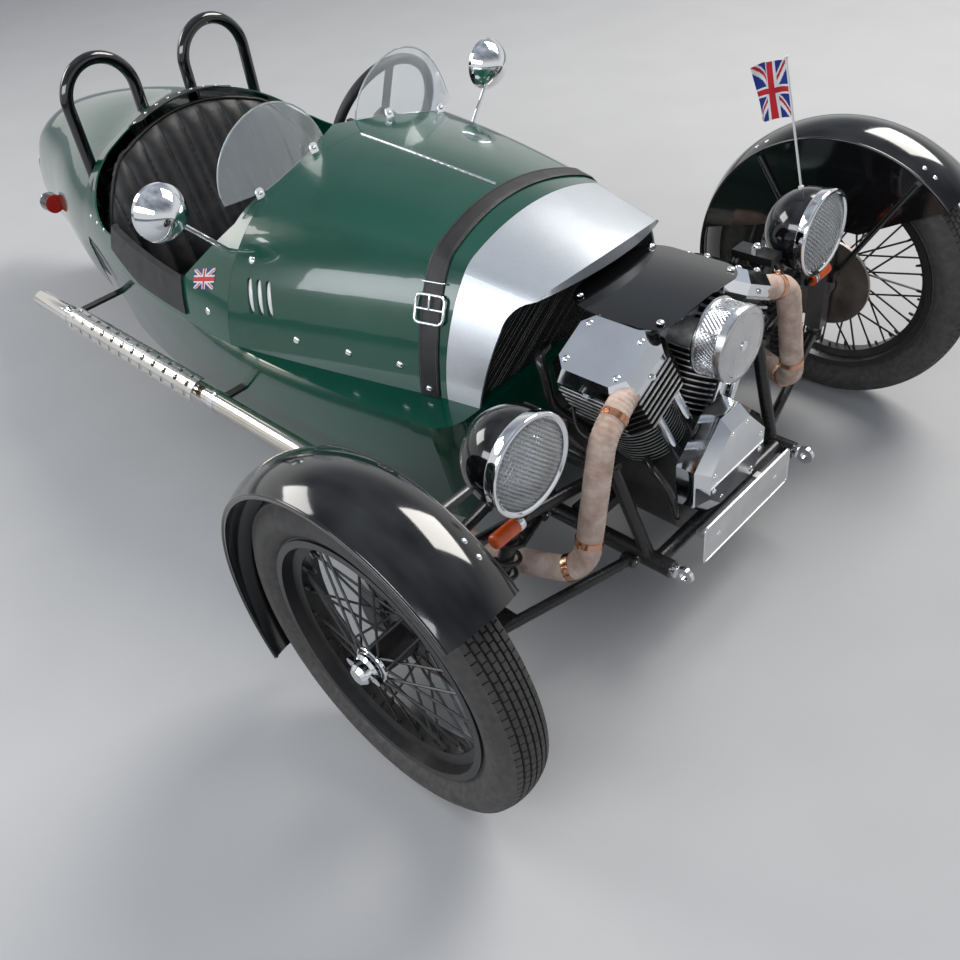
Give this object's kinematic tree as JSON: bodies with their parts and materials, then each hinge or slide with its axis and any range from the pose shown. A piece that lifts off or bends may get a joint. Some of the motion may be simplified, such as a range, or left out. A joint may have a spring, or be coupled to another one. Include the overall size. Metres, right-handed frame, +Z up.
{
  "type": "three wheeled car",
  "caption": "Open vintage-style sports three-wheeler: two steered wire wheels and an exposed V engine in front, one driven wheel under a pointed tail.",
  "frame": {"origin": "on the road under the centre of the car's bounding box", "axes": "+X forward, +Y to the car's left, +Z up"},
  "size_m": [3.225, 1.758, 0.9684],
  "materials": {
    "body_paint": "gloss",
    "silver_paint": "gloss",
    "black_paint": "gloss",
    "mesh_paint": "matte",
    "steel": "brushed",
    "chrome": "polished",
    "case_metal": "matte",
    "wrap": "matte",
    "tyre": "matte",
    "leather": "satin",
    "dash": "gloss",
    "clear": "clear",
    "amber": "gloss",
    "red": "gloss",
    "plate": "satin",
    "flag_cloth": "matte",
    "wheel_trim": "satin"
  },
  "bodies": {
    "chassis": {"hull": "body_paint", "bonnet": "body_paint", "nose_cowl": "silver_paint", "grille": "mesh_paint", "cockpit_body": "body_paint", "cockpit_rim": "leather", "tail": "body_paint", "roll_hoops": "black_paint", "side_trims": "leather", "seat_base": "leather", "seat_back": "leather", "dashboard": "dash", "aeroscreens": "clear", "mirrors": "chrome", "front_frame": "black_paint", "lashing_eyes": "chrome", "wishbones": "black_paint", "spring_dampers": "steel", "engine_case": "case_metal", "cylinders": "case_metal", "engine_covers": "chrome", "air_cleaner": "chrome", "intake_shroud": "black_paint", "exhaust_headers": "wrap", "side_pipes": "chrome", "heat_shields": "chrome", "headlamps": "black_paint", "lamp_bezels": "chrome", "headlamp_lenses": "clear", "indicators": "amber", "bonnet_strap": "leather", "rear_suspension": "black_paint", "rear_lamps": "red", "number_plate": "plate", "flag": "flag_cloth"},
    "knuckle_left": {"knuckle_left": "steel", "wing_left": "black_paint"},
    "knuckle_right": {"knuckle_right": "steel", "wing_right": "black_paint"},
    "wheel_left": {"front_tyre_left": "tyre", "wire_wheel_left": "black_paint", "spinner_left": "chrome", "brake_disc_left": "steel"},
    "wheel_right": {"front_tyre_right": "tyre", "wire_wheel_right": "black_paint", "spinner_right": "chrome", "brake_disc_right": "steel"},
    "rear_wheel": {"rear_tyre": "tyre", "rear_rim": "black_paint"},
    "steering_rack": {"steering_rack": "steel"},
    "steering_wheel": {"steering_wheel": "wheel_trim"}
  },
  "joints": [
    {"name": "steer_left", "type": "hinge", "parent": "chassis", "child": "knuckle_left", "pos_m": [1.2715, 0.701, 0.341], "axis": [0, 0, 1], "range_deg": [-25, 25]},
    {"name": "steer_right", "type": "hinge", "parent": "chassis", "child": "knuckle_right", "pos_m": [1.2715, -0.701, 0.341], "axis": [0, 0, 1], "range_deg": [-25, 25]},
    {"name": "roll_left", "type": "hinge", "parent": "knuckle_left", "child": "wheel_left", "pos_m": [1.2715, 0.799, 0.341], "axis": [0, 1, 0], "continuous": true},
    {"name": "roll_right", "type": "hinge", "parent": "knuckle_right", "child": "wheel_right", "pos_m": [1.2715, -0.799, 0.341], "axis": [0, 1, 0], "continuous": true},
    {"name": "roll_rear", "type": "hinge", "parent": "chassis", "child": "rear_wheel", "pos_m": [-1.0785, 0, 0.31], "axis": [0, 1, 0], "continuous": true},
    {"name": "rack_slide", "type": "slide", "parent": "chassis", "child": "steering_rack", "axis": [0, -1, 0], "range_m": [-0.0575, 0.0575]},
    {"name": "steering_turn", "type": "hinge", "parent": "chassis", "child": "steering_wheel", "pos_m": [0.203, 0.25, 0.745], "axis": [-0.9272, 0, 0.3746], "range_deg": [-326, 326]}
  ],
  "couplings": [
    {"joint": "steer_right", "follows": "steer_left", "ratio": 1},
    {"joint": "rack_slide", "follows": "steer_left", "m_per_rad": 0.131},
    {"joint": "steering_turn", "follows": "steer_left", "ratio": 13}
  ]
}
